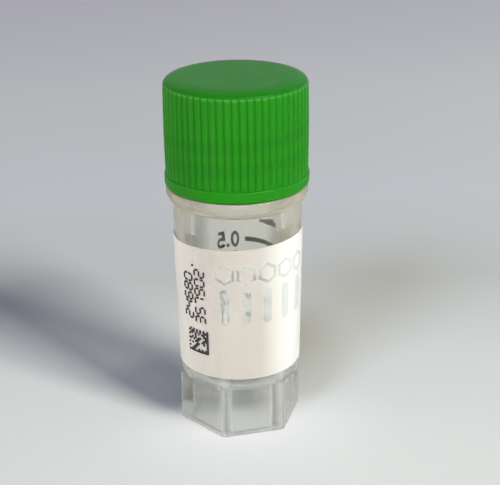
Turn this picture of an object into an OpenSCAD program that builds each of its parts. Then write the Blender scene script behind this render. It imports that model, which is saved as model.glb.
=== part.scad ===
// Screw-cap cryovial for about half a millilitre.
// A clear moulded vial with a hexagonal skirted foot, a drafted round wall, a collar and a
// screw neck is closed by a ribbed cap over a flat ring seal. The wall carries a white
// writing panel with a square code on its front, and a printed volume scale on its back.
// Millimetres. +Z is up the vial's axis, the origin is the centre of the foot's underside,
// and the middle of the writing panel faces -Y.

/* [Vial] */
// Height from the foot's underside to the rim of the mouth
vial_h = 31; // [28:0.5:60]
// Outer diameter of the round wall just above the foot
wall_low_d = 11.04; // [10.6:0.02:11.4]
// Outer diameter of the round wall just below the collar
wall_top_d = 11.74; // [11.2:0.02:12.2]
// Diameter of the bore
bore_d = 8; // [6.4:0.1:8.6]
// Height of the bore's lowest point
floor_z = 4.8; // [4:0.1:7]
// Thickness of the vessel's round bottom
bottom_t = 1.4; // [0.8:0.1:2]
// Radius of the mouth's outer rim edge
rim_round = 0.3; // [0.1:0.05:0.5]

/* [Foot] */
// Height of the hexagonal foot
foot_h = 5; // [4:0.1:7]
// Width of the foot across its flats
foot_flats = 10.16; // [9.4:0.02:10.6]
// Radius of the foot's upright corners
foot_round = 0.5; // [0.2:0.05:1]
// Turn of the foot's first corner from +X, in degrees
foot_turn = 13.4; // [0:0.2:60]
// Wall of the foot's skirt, from its flats in to the hexagonal hollow
skirt_t = 1.6; // [0.9:0.05:2]
// Radius of the hollow's upright corners
skirt_round = 0.4; // [0.1:0.05:0.8]
// Height of the bevel between the round wall and the foot's flats
ledge_h = 0.35; // [0.1:0.05:0.6]

/* [Collar and neck] */
// Height of the neck from the collar's top face to the rim
neck_h = 7.55; // [6.5:0.05:12]
// Outer diameter of the plain neck under its thread
neck_d = 10.1; // [9.8:0.05:10.6]
// Height of the collar
collar_h = 1.55; // [1.3:0.05:2.5]
// Height of the collar's upright outer lip
collar_lip = 0.5; // [0.2:0.05:0.6]
// How far the collar's edge stands back from the cap's lower band
collar_inset = 0.09; // [0:0.01:0.2]

/* [Cap] */
// Radial room between neck and cap, which the screw threads fill
thread_room = 0.45; // [0.35:0.05:0.6]
// Wall of the cap's skirt, without its ribs
cap_wall = 0.82; // [0.6:0.02:1.2]
// Thickness of the cap's top
cap_top_t = 1.2; // [0.8:0.05:2]
// Radius of the cap's rounded top edge
cap_round = 0.9; // [0.4:0.05:1.1]
// Gap between the screwed-down cap and the collar
cap_gap = 0.15; // [0.05:0.05:0.4]
// Number of grip ribs
rib_count = 60; // [40:2:72]
// Turn of the first valley between the ribs from +X, in degrees
rib_turn = 2; // [0:0.5:9]
// Height of a grip rib above the valleys
rib_h = 0.16; // [0.1:0.01:0.25]
// How far a rib's crest falls away at the ends of the skirt, which gives it a barrel shape
barrel = 0.05; // [0:0.01:0.08]
// Height of the plain band round the cap's lower end
band_h = 1; // [0.6:0.05:2]
// How far the band stands out from the ribs
band_step = 0.06; // [0.02:0.01:0.2]
// Radius of the band's upper edge
band_round = 0.2; // [0.05:0.05:0.3]
// Width and height of the bevel inside the cap's mouth
lead_in = 0.35; // [0.1:0.05:0.6]

/* [Sealing washer] */
// Thickness of the sealing washer
washer_t = 1; // [0.6:0.05:2]
// Diameter of the washer's hole
washer_hole_d = 7; // [6:0.1:8]
// Radial clearance between washer and cap
washer_gap = 0.1; // [0.05:0.01:0.3]
// Gap between the washer and the faces above and below it
seat_gap = 0.05; // [0.02:0.01:0.1]

/* [Writing panel] */
// Thickness of the printed panel
panel_t = 0.1; // [0.05:0.01:0.2]
// Distance from the foot's top up to the panel's lower edge
panel_low = 1.15; // [0.5:0.05:3]
// Distance from the collar down to the panel's upper edge, at the front
panel_high = 2.9; // [1:0.05:6]
// Slant of the panel's upper edge, in degrees, higher towards +X
panel_slant = 2.6; // [0:0.1:4]
// Angle that the panel wraps round the wall
panel_wrap = 186; // [120:2:240]
// Gap between a printed layer and what it is printed on
ink_gap = 0.03; // [0.02:0.01:0.05]
// Thickness of the printed marks
ink_t = 0.06; // [0.04:0.01:0.1]

/* [Volume scale] */
// Volume between two marks, in millilitres
scale_step = 0.1; // [0.05:0.05:0.2]
// Number of marks, with the fill limit on top
scale_marks = 6; // [3:1:6]
// Thickness of a mark
mark_w = 0.45; // [0.15:0.05:0.5]
// Angle that a long mark spans round the wall
mark_span = 58; // [20:1:80]
// Angle from the middle of the back to the start of the marks, towards +X
mark_start = 8; // [0:1:20]

/* [Code] */
// Side of the square code
code_side = 2.35; // [1.5:0.05:4]
// Number of cells along one side of the code
code_cells = 12; // [8:2:16]
// Height of the code above the panel's lower edge
code_rise = 2.2; // [0.5:0.1:5]
// Angle from the middle of the panel to the middle of the code, towards -X
code_turn = 41; // [0:1:80]

/* [Hidden] */
$fn = 96;

// Vial heights and radii, from the foot upwards
bore_r = bore_d / 2;
bore_mid_z = floor_z + bore_r;
collar_top_z = vial_h - neck_h;
collar_low_z = collar_top_z - collar_h;
neck_r = neck_d / 2;

// Directions from +X, and how far a cut runs past the face that it opens
front_turn = 270;
back_turn = 90;
over = 1;

// Cap, from its bore outwards and from its mouth upwards
cap_bore_r = neck_r + thread_room;
valley_r = cap_bore_r + cap_wall;
crest_r = valley_r + rib_h;
band_r = crest_r + band_step;
collar_r = band_r - collar_inset;
collar_slope = 0.2;
collar_round = collar_h - collar_lip + collar_slope;
cap_low_z = collar_top_z + cap_gap;
washer_low_z = vial_h + seat_gap;
cap_roof_z = washer_low_z + washer_t + seat_gap;
cap_top_z = cap_roof_z + cap_top_t;
band_top_z = cap_low_z + band_h;
shoulder_z = cap_top_z - cap_round;

// A rib is an arc that meets its neighbours at the valleys
rib_half = crest_r * sin(180 / rib_count);
rib_arc_r = (pow(rib_half, 2) + pow(rib_h, 2)) / (2 * rib_h);

// Writing panel
panel_low_z = foot_h + panel_low;
panel_high_z = collar_low_z - panel_high;
panel_outer = ink_gap + panel_t;

// Code
cell = code_side / code_cells;
cell_fill = 0.88;
code_low_z = panel_low_z + code_rise;

// Outer radius of the drafted wall at height z
wall_draft = (wall_top_d - wall_low_d) / 2 / (collar_low_z - foot_h);
function wall_r(z) = wall_low_d / 2 + wall_draft * (z - foot_h);

// Height of the liquid's surface for a volume v in cubic millimetres: a segment of a ball in
// the round bottom, and a cylinder above it
millilitre = 1000;
bowl_volume = 2 / 3 * PI * pow(bore_r, 3);
function segment_h(v) = bore_r * (1 + 2 * cos(120 - acos(1 - v / bowl_volume) / 3));
function column_h(v) = bore_r + (v - bowl_volume) / (PI * pow(bore_r, 2));
function fill_z(v) = floor_z + (v < bowl_volume ? segment_h(v) : column_h(v));

// The fill limit's mark and the thin bar above it, as shares of a long mark
limit_span = 0.5 * mark_span;
bar_span = 0.64 * mark_span;
bar_w = 0.6 * mark_w;
bar_rise = mark_w;

// Whether the code's cell in this column and row is dark: two solid sides, two dotted
// sides, and a plain scatter between them
function is_dark(c, r) =
    r < 0 || r >= code_cells ? false :
    r == 0 || c == code_cells - 1 ? true :
    r == code_cells - 1 || c == 0 ? (r + c) % 2 == 0 :
    (7 * r * r + 3 * c * c + 5 * r * c + 2 * c) % 11 < 5;

// Number of dark cells that follow each other upwards from this one
function dark_run(c, r) = is_dark(c, r) ? 1 + dark_run(c, r + 1) : 0;

// Hexagon with rounded corners, measured across its flats
module rounded_hexagon(flats, round) {
    centre_r = (flats / 2 - round) / cos(30);
    polygon([for (i = [0:5]) for (side = [-30:7.5:30])
        centre_r * [cos(60 * i), sin(60 * i)] + round * [cos(60 * i + side), sin(60 * i + side)]]);
}

// Upright wall section with a quarter-round on its top outer corner
module topped_section(r, low, high, round) {
    translate([0, low]) square([r, high - low - round]);
    translate([0, low]) square([r - round, high - low]);
    translate([r - round, high - round]) circle(r = round);
}

// Layer of even thickness that stands off the drafted wall by a gap, between two heights
module wall_layer(low, high, gap, thickness, from, span) {
    outer = gap + thickness;
    rotate(from) rotate_extrude(angle = span) polygon([
        [wall_r(low) + gap, low], [wall_r(low) + outer, low],
        [wall_r(high) + outer, high], [wall_r(high) + gap, high]]);
}

// Collar section: an upright lip over a round underside that runs into the wall
module collar_section() {
    intersection() {
        translate([0, collar_low_z]) square([collar_r, collar_h]);
        union() {
            translate([0, collar_top_z - collar_lip]) square([collar_r, collar_lip]);
            translate([collar_r - collar_round, collar_top_z - collar_lip]) circle(r = collar_round);
        }
    }
}

module vial_outside() {
    linear_extrude(foot_h) rotate(foot_turn) rounded_hexagon(foot_flats, foot_round);
    rotate_extrude() {
        polygon([
            [0, foot_h - ledge_h], [foot_flats / 2 - ledge_h, foot_h - ledge_h],
            [wall_r(foot_h), foot_h], [wall_r(collar_low_z), collar_low_z],
            [wall_r(collar_low_z), collar_top_z], [0, collar_top_z]]);
        collar_section();
        topped_section(neck_r, collar_low_z, vial_h, rim_round);
    }
}

// Section of the bore: a quarter-round bottom under a straight wall that runs out of the mouth
module bore_section() {
    translate([0, bore_mid_z]) {
        square([bore_r, vial_h - bore_mid_z + over]);
        intersection() {
            circle(r = bore_r);
            translate([0, -bore_r]) square([bore_r, bore_r + over]);
        }
    }
}

// Hollow under the foot: a hexagon in line with the foot's, up to the vessel's round bottom
module foot_hollow() {
    difference() {
        translate([0, 0, -over]) linear_extrude(bore_mid_z + over)
            rotate(foot_turn) rounded_hexagon(foot_flats - 2 * skirt_t, skirt_round);
        translate([0, 0, bore_mid_z]) sphere(r = bore_r + bottom_t);
    }
}

// One moulding: the foot's skirt is hollow under the vessel's round bottom
module vial() {
    color([0.86, 0.88, 0.86, 0.45]) difference() {
        vial_outside();
        rotate_extrude() bore_section();
        foot_hollow();
    }
}

module rib_outline() {
    circle(r = valley_r);
    for (i = [0:rib_count - 1]) rotate(360 / rib_count * (i + 0.5) + rib_turn)
        translate([crest_r - rib_arc_r, 0]) circle(r = rib_arc_r);
}

// Section that the ribs' crests follow: a slight barrel with a rounded top edge, through which
// the valleys run out upright
module crest_section() {
    end_r = crest_r - barrel;
    topped_section(end_r, cap_low_z, cap_top_z, cap_round);
    polygon([[0, band_top_z], [end_r, band_top_z], [crest_r, (band_top_z + shoulder_z) / 2],
        [end_r, shoulder_z], [0, shoulder_z]]);
}

module cap() {
    color([0.13, 0.62, 0.1]) difference() {
        union() {
            rotate_extrude() topped_section(band_r, cap_low_z, band_top_z, band_round);
            intersection() {
                translate([0, 0, cap_low_z]) linear_extrude(cap_top_z) rib_outline();
                rotate_extrude() crest_section();
            }
        }
        translate([0, 0, cap_low_z - over]) cylinder(r = cap_bore_r, h = cap_roof_z - cap_low_z + over);
        translate([0, 0, cap_low_z - over])
            cylinder(r1 = cap_bore_r + lead_in + over, r2 = cap_bore_r, h = lead_in + over);
    }
}

module sealing_washer() {
    color([0.93, 0.93, 0.9]) translate([0, 0, washer_low_z]) difference() {
        cylinder(r = cap_bore_r - washer_gap, h = washer_t);
        translate([0, 0, -over]) cylinder(d = washer_hole_d, h = washer_t + 2 * over);
    }
}

// The panel is cut along a slanted plane that passes its upper edge at the front
module writing_panel() {
    reach = 2 * collar_r;
    color([0.96, 0.95, 0.92]) difference() {
        wall_layer(panel_low_z, collar_low_z, ink_gap, panel_t, front_turn - panel_wrap / 2, panel_wrap);
        translate([0, 0, panel_high_z]) rotate([0, -panel_slant, 0])
            translate([-reach, -reach, 0]) cube([2 * reach, 2 * reach, collar_low_z]);
    }
}

// Long marks stand at each step of volume. The fill limit on top is a shorter mark under a
// thin bar.
module volume_scale() {
    color([0.25, 0.26, 0.26]) {
        for (i = [1:scale_marks - 1]) scale_mark(scale_step * i, mark_span, mark_w, 0);
        scale_mark(scale_step * scale_marks, limit_span, mark_w, 0);
        scale_mark(scale_step * scale_marks, bar_span, bar_w, bar_rise);
    }
}

// Mark at a volume in millilitres, which may stand above its level. All marks end at the same
// angle, towards +X.
module scale_mark(volume, span, width, rise) {
    low = fill_z(volume * millilitre) + rise - width / 2;
    wall_layer(low, low + width, ink_gap, ink_t, back_turn - mark_start - mark_span, span);
}

module code_outline() {
    for (c = [0:code_cells - 1]) for (r = [0:code_cells - 1])
        if (is_dark(c, r) && !is_dark(c, r - 1)) {
            run_h = (dark_run(c, r) - 1 + cell_fill) * cell;
            translate([c * cell, r * cell]) square([cell * cell_fill, run_h]);
        }
}

// The code is laid on the panel from straight in front of its own middle
module code_print() {
    color([0.1, 0.09, 0.09]) intersection() {
        wall_layer(code_low_z - over, code_low_z + code_side + over,
            panel_outer + ink_gap, ink_t, front_turn - 90, 180);
        rotate(-code_turn) translate([-code_side / 2, 0, code_low_z])
            rotate([90, 0, 0]) linear_extrude(band_r) code_outline();
    }
}

vial();
cap();
sealing_washer();
writing_panel();
volume_scale();
code_print();
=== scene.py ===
"""Screw-cap cryovial: the finished surfaces and their setting.

A clear moulded vial with a hexagonal skirted foot is closed by a ribbed cap over a soft ring
seal. Its wall carries a white writing panel with a square code and plain numbers on the
front, and a printed volume scale on the back.

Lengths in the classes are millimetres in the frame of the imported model: +Z up the vial's
axis, the foot's underside at zero, and the middle of the writing panel facing -Y. Angles
round the axis are measured from +X, anticlockwise seen from above.
"""

import logging
import math
from dataclasses import dataclass
from enum import Enum
from typing import Any, Union

import bpy
import numpy as np
from mathutils import Matrix, Vector


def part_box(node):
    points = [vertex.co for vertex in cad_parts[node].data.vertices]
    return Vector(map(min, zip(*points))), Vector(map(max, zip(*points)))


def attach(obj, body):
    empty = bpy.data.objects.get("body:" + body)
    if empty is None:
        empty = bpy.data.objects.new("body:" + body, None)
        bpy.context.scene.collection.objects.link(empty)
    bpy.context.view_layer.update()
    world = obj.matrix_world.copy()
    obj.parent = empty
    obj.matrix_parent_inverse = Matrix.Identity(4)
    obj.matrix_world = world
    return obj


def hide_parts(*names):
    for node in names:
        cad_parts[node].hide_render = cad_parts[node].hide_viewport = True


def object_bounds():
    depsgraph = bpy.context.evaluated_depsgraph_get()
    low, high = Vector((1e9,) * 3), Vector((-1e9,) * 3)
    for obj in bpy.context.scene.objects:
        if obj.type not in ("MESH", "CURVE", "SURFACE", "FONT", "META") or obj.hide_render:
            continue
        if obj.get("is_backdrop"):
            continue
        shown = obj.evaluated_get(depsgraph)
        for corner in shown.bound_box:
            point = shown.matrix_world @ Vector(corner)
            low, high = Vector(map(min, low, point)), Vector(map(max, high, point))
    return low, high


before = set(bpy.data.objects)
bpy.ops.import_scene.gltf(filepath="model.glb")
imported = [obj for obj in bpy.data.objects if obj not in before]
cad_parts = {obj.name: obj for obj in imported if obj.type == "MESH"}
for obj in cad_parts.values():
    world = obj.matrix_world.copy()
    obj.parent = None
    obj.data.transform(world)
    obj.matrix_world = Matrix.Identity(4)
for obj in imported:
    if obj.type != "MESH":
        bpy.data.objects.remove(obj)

LOG = logging.getLogger("cryovial")
MM = 0.001
FULL_TURN = 2 * math.pi
SIXTH = FULL_TURN / 6
FRONT = math.radians(270)
BACK = math.radians(90)
FLAT_ANGLE = math.radians(32)
REFRACTION = 1.49

Colour = tuple[float, float, float]
Span = tuple[float, float]
Noise = Union[tuple[float, int], tuple[float, int, Colour]]  # scale, detail and stretch


class Body(Enum):
    """The moving bodies that a piece can ride on."""

    VIAL = "vial_body"
    SEAL = "washer_body"
    CAP = "cap_body"


class Slot(Enum):
    """The record's material slots."""

    CLEAR = "clear_vial"
    GREEN = "green_cap"
    SILICONE = "silicone_seal"
    WHITE = "white_panel"
    GREY_INK = "grey_ink"
    BLACK_INK = "black_ink"


class Ends(Enum):
    """How a grid's first and last rows end: each in a point or a face, or joined together."""

    POLES = "poles"
    FACES = "faces"
    RING = "ring"


# Surfaces


@dataclass(frozen=True)
class NodeBox:
    """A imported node's lowest and highest level and its reach along +X, in millimetres."""

    low: float
    high: float
    reach: float

    @classmethod
    def of(cls, node: str) -> "NodeBox":
        """The box of the node with this name."""
        low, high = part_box(node)
        return cls(low[2] / MM, high[2] / MM, high[0] / MM)


def add_object(name: str, data: Any) -> bpy.types.Object:
    """Puts a new object with this data into the scene, at the origin.

    Args:
        name: The object's name.
        data: Its mesh, light or camera.

    Returns:
        The new object.
    """
    made = bpy.data.objects.new(name, data)
    bpy.context.scene.collection.objects.link(made)
    return made


class Surface:
    """Vertices and faces of one mesh, gathered grid by grid."""

    def __init__(self) -> None:
        """Starts with no vertices."""
        self.points: list[np.ndarray] = []
        self.faces: list[np.ndarray] = []
        self.count = 0

    def _add_points(self, points: np.ndarray) -> int:
        """Stores points.

        Args:
            points: Any number of points of three coordinates.

        Returns:
            The number of the first one.
        """
        first = self.count
        self.points.append(points.reshape(-1, 3))
        self.count += len(self.points[-1])
        return first

    def add_grid(self, points: np.ndarray, ends: Ends) -> None:
        """Adds a tube-like grid whose columns close on themselves.

        A face joins columns j and j + 1 of rows i and i + 1. It faces outwards where the
        rows climb and the columns run anticlockwise. A pole is the mean of its row.

        Args:
            points: Rows by columns by three coordinates.
            ends: How the first and the last row end.
        """
        rows, columns = points.shape[:2]
        number = self._add_points(points) + np.arange(rows * columns).reshape(rows, columns)
        if ends is Ends.RING:
            number = np.vstack([number, number[:1]])
        after = np.roll(number, -1, axis=1)
        quads = np.stack([number[:-1], after[:-1], after[1:], number[1:]], axis=-1)
        self.faces.append(quads.reshape(-1, 4))
        if ends is Ends.FACES:
            self.faces += [np.flip(number[0])[None], number[-1][None]]
        if ends is Ends.POLES:
            for row, ring, following in ((0, number[0], after[0]), (-1, after[-1], number[-1])):
                pole = self._add_points(points[row].mean(axis=0))
                self.faces.append(np.stack([np.full(columns, pole), following, ring], axis=-1))

    def add_boxes(self, corners: np.ndarray) -> None:
        """Adds separate six-sided blocks.

        Args:
            corners: Blocks by eight corners by three coordinates: the four of the inner
                side anticlockwise seen from outside, then the four of the outer side.
        """
        sides = np.array(
            [[0, 3, 2, 1], [4, 5, 6, 7], [0, 1, 5, 4], [1, 2, 6, 5], [2, 3, 7, 6], [3, 0, 4, 7]]
        )
        starts = self._add_points(corners) + 8 * np.arange(len(corners))
        self.faces.append((starts[:, None, None] + sides).reshape(-1, 4))

    def make_object(self, name: str) -> bpy.types.Object:
        """Turns the surface into a mesh object at the origin.

        Args:
            name: The piece's name.

        Returns:
            The new object, smooth apart from its sharp edges.
        """
        mesh = bpy.data.meshes.new(name)
        faces = [face for group in self.faces for face in group.tolist()]
        mesh.from_pydata(np.vstack(self.points) * MM, [], faces)
        mesh.validate()
        mesh.shade_smooth()
        mesh.set_sharp_from_angle(angle=FLAT_ANGLE)
        return add_object(name, mesh)


class Section:
    """Rows of a turned surface: each row has a radius and a height for every column."""

    def __init__(self, angles: np.ndarray) -> None:
        """Starts a section without rows.

        Args:
            angles: Angle of each column, in radians.
        """
        self.angles = angles
        self.radii: list[np.ndarray] = []
        self.heights: list[np.ndarray] = []

    def add(self, radius: Any, height: Any) -> None:
        """Adds rows.

        Args:
            radius: A number, one value a row, or a full grid.
            height: The same for the heights.
        """
        radius, height = (np.asarray(value, dtype=float) for value in (radius, height))
        radius, height = (value[:, None] if value.ndim == 1 else value for value in (radius, height))
        radius, height = np.broadcast_arrays(radius, height)
        shape = (radius.shape[0] if radius.ndim == 2 else 1, len(self.angles))
        self.radii.append(np.broadcast_to(radius, shape))
        self.heights.append(np.broadcast_to(height, shape))

    def arc(self, centre: Span, radius: float, start: float, end: float, rows: int) -> None:
        """Adds a circular stretch.

        Args:
            centre: Radius and height of the arc's centre.
            radius: Radius of the arc.
            start: Angle of its first row in degrees, 0 outwards and 90 upwards.
            end: Angle of its last row in degrees.
            rows: Number of rows.
        """
        turn = np.radians(np.linspace(start, end, rows))
        self.add(centre[0] + radius * np.cos(turn), centre[1] + radius * np.sin(turn))

    def surface(self, ends: Ends) -> Surface:
        """Turns the section round the axis.

        Args:
            ends: How the first and the last row end.

        Returns:
            The section turned round the axis, as one surface.
        """
        radius, height = np.vstack(self.radii), np.vstack(self.heights)
        points = np.stack([radius * np.cos(self.angles), radius * np.sin(self.angles), height], axis=-1)
        turned = Surface()
        turned.add_grid(points, ends)
        return turned


def even_angles(columns: int) -> np.ndarray:
    """Column angles at even steps round the axis, in radians."""
    return np.arange(columns) * FULL_TURN / columns


def ease(value: np.ndarray) -> np.ndarray:
    """Smooth step from 0 to 1 as the value goes from 0 to 1: three squares less two cubes."""
    share = np.clip(value, 0, 1)
    return share * share * (3 - 2 * share)


@dataclass(frozen=True)
class Thread:
    """A single-start right-hand screw thread with a rounded trapezoid ridge."""

    height: float
    crest: float
    low: float
    turns: float
    lead: float = 2.1
    flank: float = 0.22
    start: float = math.radians(250)
    fade: float = 0.12

    def ridge(self, angles: np.ndarray, heights: np.ndarray) -> np.ndarray:
        """Height of the ridge above its root cylinder.

        The nearest turn of the helix is the whole number closest to (height - low) / lead
        less the angle's share of a turn. The ridge falls from its crest over the flank, and
        fades in and out at the helix's ends.

        Args:
            angles: Column angles in radians.
            heights: Row heights in millimetres.

        Returns:
            Rows by columns of ridge heights.
        """
        share = ((angles - self.start) % FULL_TURN) / FULL_TURN
        climb = (heights[:, None] - self.low) / self.lead - share[None, :]
        near = np.round(climb)
        off = np.abs(climb - near) * self.lead
        along = near + share
        ends = ease(along / self.fade) * ease((self.turns - along) / self.fade)
        return self.height * ends * ease((self.crest / 2 + self.flank - off) / self.flank)


# Print on a round wall


@dataclass(frozen=True)
class Wall:
    """The vial's drafted outer wall, as a place to print on."""

    low_z: float
    low_r: float
    high_z: float
    high_r: float

    def radius(self, height: np.ndarray) -> np.ndarray:
        """Radius of the wall at a height."""
        share = (height - self.low_z) / (self.high_z - self.low_z)
        return self.low_r + (self.high_r - self.low_r) * share

    def place(self, angle: np.ndarray, height: np.ndarray, stand_off: Any) -> np.ndarray:
        """Points that stand off the wall at these angles and heights."""
        radius = self.radius(height) + stand_off
        return np.stack([radius * np.cos(angle), radius * np.sin(angle), height + 0 * radius], axis=-1)


@dataclass(frozen=True)
class Ink:
    """A printed layer: where its middle lies on the wall and how thick it is."""

    wall: Wall
    middle: float
    gap: float
    thickness: float
    scale_r: float

    def lay(self, spots: np.ndarray, outer: bool) -> np.ndarray:
        """Points of the layer's inner or outer face, from millimetres along and up the wall."""
        off = self.gap + (self.thickness if outer else 0)
        return self.wall.place(self.middle + spots[..., 0] / self.scale_r, spots[..., 1], off)

    def ribbon(self, surface: Surface, path: np.ndarray, width: Any, closed: bool = False) -> None:
        """Adds a stroke of ink along a path.

        Each point goes half the width to both sides along the mitre of its two neighbouring
        stretches, whose length is the half width over the cosine of half the turn.

        Args:
            surface: The surface that takes the stroke.
            path: Points of the stroke's middle line, millimetres along and up the wall.
            width: Width of the stroke, one number or one a point.
            closed: Whether the last point joins the first.
        """
        sharpest = 0.4
        ahead = np.roll(path, -1, axis=0) - path
        if not closed:
            ahead[-1] = ahead[-2]
        ahead /= np.linalg.norm(ahead, axis=1)[:, None]
        behind = np.roll(ahead, 1, axis=0)
        if not closed:
            behind[0] = ahead[0]
        left, left_behind = (np.stack([-way[:, 1], way[:, 0]], axis=-1) for way in (ahead, behind))
        mitre = left + left_behind
        mitre /= np.maximum(np.sum(mitre * left, axis=1), sharpest)[:, None]
        half = np.broadcast_to(np.asarray(width, dtype=float) / 2, len(path))[:, None]
        sides = (path + mitre * half, path - mitre * half)
        corners = (0, False), (0, True), (1, True), (1, False)
        ring = [self.lay(sides[side], outer) for side, outer in corners]
        surface.add_grid(np.stack(ring, axis=1), Ends.RING if closed else Ends.FACES)

    def dots(self, surface: Surface, centres: np.ndarray, width: float, height: float) -> None:
        """Adds a rectangular dot of ink at each centre.

        Args:
            surface: The surface that takes them.
            centres: Middle of each dot: its distance round the wall and its height.
            width: Width of a dot.
            height: Height of a dot.
        """
        corner = np.array([[-1, -1], [1, -1], [1, 1], [-1, 1]]) * (width / 2, height / 2)
        spots = centres[:, None, :] + corner
        surface.add_boxes(np.concatenate([self.lay(spots, False), self.lay(spots, True)], axis=1))


def line(*corners: Span) -> np.ndarray:
    """A stroke through these corners, in a digit's own units."""
    return np.array(corners, dtype=float)


def bow(x: float, y: float, across: float, up: float, start: float, end: float) -> np.ndarray:
    """An elliptical stroke round (x, y) between two angles in degrees, in a digit's units."""
    turn = np.radians(np.linspace(start, end, 20))
    return np.stack([x + across * np.cos(turn), y + up * np.sin(turn)], axis=-1)


# Strokes of the scale's digits on a field one unit wide and two units high
DIGIT_STROKES = {
    "0": [bow(0.5, 1.0, 0.42, 0.88, 0, 342)],
    "1": [line((0.15, 1.5), (0.6, 1.9), (0.6, 0))],
    "2": [np.vstack([bow(0.5, 1.42, 0.4, 0.46, 160, -35), line((0.08, 0.1), (0.98, 0.1))])],
    "3": [bow(0.46, 1.4, 0.4, 0.46, 150, -85), bow(0.46, 0.56, 0.46, 0.46, 85, -150)],
    "4": [line((1.0, 0.55), (0.06, 0.55), (0.72, 1.9), (0.72, 0))],
    "5": [np.vstack([line((0.9, 1.9), (0.2, 1.9), (0.1, 1.05)), bow(0.46, 0.6, 0.46, 0.5, 118, -150)])],
}

# Bars of a dot-printed digit on a field of five by seven, by letter: top, middle and foot,
# then left and right, each in an upper and a lower half
DOT_BARS = {
    "t": [(1, 6), (2, 6), (3, 6)],
    "m": [(1, 3), (2, 3), (3, 3)],
    "f": [(1, 0), (2, 0), (3, 0)],
    "l": [(0, 4), (0, 5)],
    "b": [(0, 1), (0, 2)],
    "r": [(4, 4), (4, 5)],
    "c": [(4, 1), (4, 2)],
}
DIGIT_BARS = {
    "0": "tlbrcf", "2": "trmbf", "3": "trmcf", "4": "lrmc", "5": "tlmcf", "6": "tlmbcf", "7": "trc",
    "8": "tmflbrc", "9": "tlrmcf",
}


def digit_dots(digit: str) -> np.ndarray:
    """Dots of one plain digit, on a field four steps wide and six steps high."""
    return np.array([dot for bar in DIGIT_BARS[digit] for dot in DOT_BARS[bar]], float)


# Shader maths

Number = Union[float, "Value"]
Socket = bpy.types.NodeSocket


class Recipe:
    """Builds the nodes of one material or world."""

    def __init__(self, owner: Any) -> None:
        """Starts with no nodes in this material or world.

        Args:
            owner: The new material or world.
        """
        self.owner = owner
        owner.use_nodes = True
        self.tree = owner.node_tree
        self.tree.nodes.clear()

    @classmethod
    def named(cls, name: str) -> "Recipe":
        """A recipe for a new material with this name."""
        return cls(bpy.data.materials.new(name))

    def node(self, kind: str, inputs: dict[Any, Any], **settings: Any) -> Any:
        """Makes a node.

        Args:
            kind: The node's type after its common beginning, such as Math.
            inputs: Values or links by socket name or number.
            settings: The node's own settings, set first. A ramp's stops are a list of
                (place, colour) under "stops".

        Returns:
            The new node's outputs.
        """
        made = self.tree.nodes.new("ShaderNode" + kind)
        for number, (place, colour) in enumerate(settings.pop("stops", [])):
            fresh = number >= len(made.color_ramp.elements)
            stop = made.color_ramp.elements.new(place) if fresh else made.color_ramp.elements[number]
            stop.position, stop.color = place, (*colour, 1)
        for name, value in settings.items():
            setattr(made, name, value)
        for key, value in inputs.items():
            socket = made.inputs[key]
            if isinstance(value, (Value, Socket)):
                self.tree.links.new(value.socket if isinstance(value, Value) else value, socket)
            else:
                short = socket.type == "RGBA" and len(value) == 3
                socket.default_value = (*value, 1) if short else value
        return made.outputs

    def parts(self, vector: Socket) -> list["Value"]:
        """The x, y and z of a vector."""
        return [Value(self, part) for part in self.node("SeparateXYZ", {0: vector})]

    def place(self) -> list["Value"]:
        """The point on the piece in millimetres: its x, y and z."""
        return [part / MM for part in self.parts(self.node("TexCoord", {})["Object"])]

    def outward(self) -> "Value":
        """Where a face looks: its normal's part along the way out from the Z axis.

        Returns:
            Above 0 on faces that look away from the Z axis, under 0 on faces towards it.
        """
        normal = self.parts(self.node("TexCoord", {})["Normal"])
        x, y, _ = self.place()
        return normal[0] * x + normal[1] * y

    def rays(self, *kinds: str) -> list["Value"]:
        """For each kind of ray, such as Camera: 1 for those rays and 0 for others."""
        path = self.node("LightPath", {})
        return [Value(self, path[f"Is {kind} Ray"]) for kind in kinds]

    def noise(self, scale: float, detail: float = 2, stretch: Colour = (1, 1, 1)) -> "Value":
        """Noise through the body.

        Args:
            scale: Waves a millimetre.
            detail: Finer layers added to them.
            stretch: Factor on the scale along each axis.

        Returns:
            The noise, from 0 to 1.
        """
        spot = self.node("TexCoord", {})["Object"]
        fitted = self.node("Mapping", {"Vector": spot, "Scale": stretch})[0]
        inputs = {"Vector": fitted, "Scale": scale / MM, "Detail": detail}
        return Value(self, self.node("TexNoise", inputs)["Fac"])

    def blend(self, share: Number, first: Any, second: Any) -> Socket:
        """A colour that goes from the first to the second as the share goes from 0 to 1."""
        return self.node("Mix", {0: share, 6: first, 7: second}, data_type="RGBA")[2]

    def bump(self, height: Number, depth: float) -> Socket:
        """A normal from a height between 0 and 1, for a relief this many millimetres deep."""
        return self.node("Bump", {"Height": height, "Distance": depth * MM, "Strength": 1.0})[0]

    def glow(self, colour: Colour) -> Socket:
        """A shader that shows this colour whatever the light."""
        return self.node("Emission", {"Color": colour, "Strength": 1.0})[0]

    def layers(self, shader: Socket, *covers: tuple[Number, Socket]) -> Socket:
        """Lays covers over a shader, each mixed in by its share.

        Args:
            shader: The lowest shader.
            covers: Share and shader of each cover, lowest first.

        Returns:
            The topmost mix.
        """
        for share, cover in covers:
            shader = self.node("MixShader", {0: share, 1: shader, 2: cover})[0]
        return shader

    def finish(self, shader: Socket, inside: Any = None) -> Any:
        """Sends the shader to the output.

        Args:
            shader: The surface's shader.
            inside: The shader of what fills the inside, if anything does.

        Returns:
            The finished material or world.
        """
        inputs = {"Surface": shader} if inside is None else {"Surface": shader, "Volume": inside}
        is_world = isinstance(self.owner, bpy.types.World)
        self.node("OutputWorld" if is_world else "OutputMaterial", inputs)
        return self.owner


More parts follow.
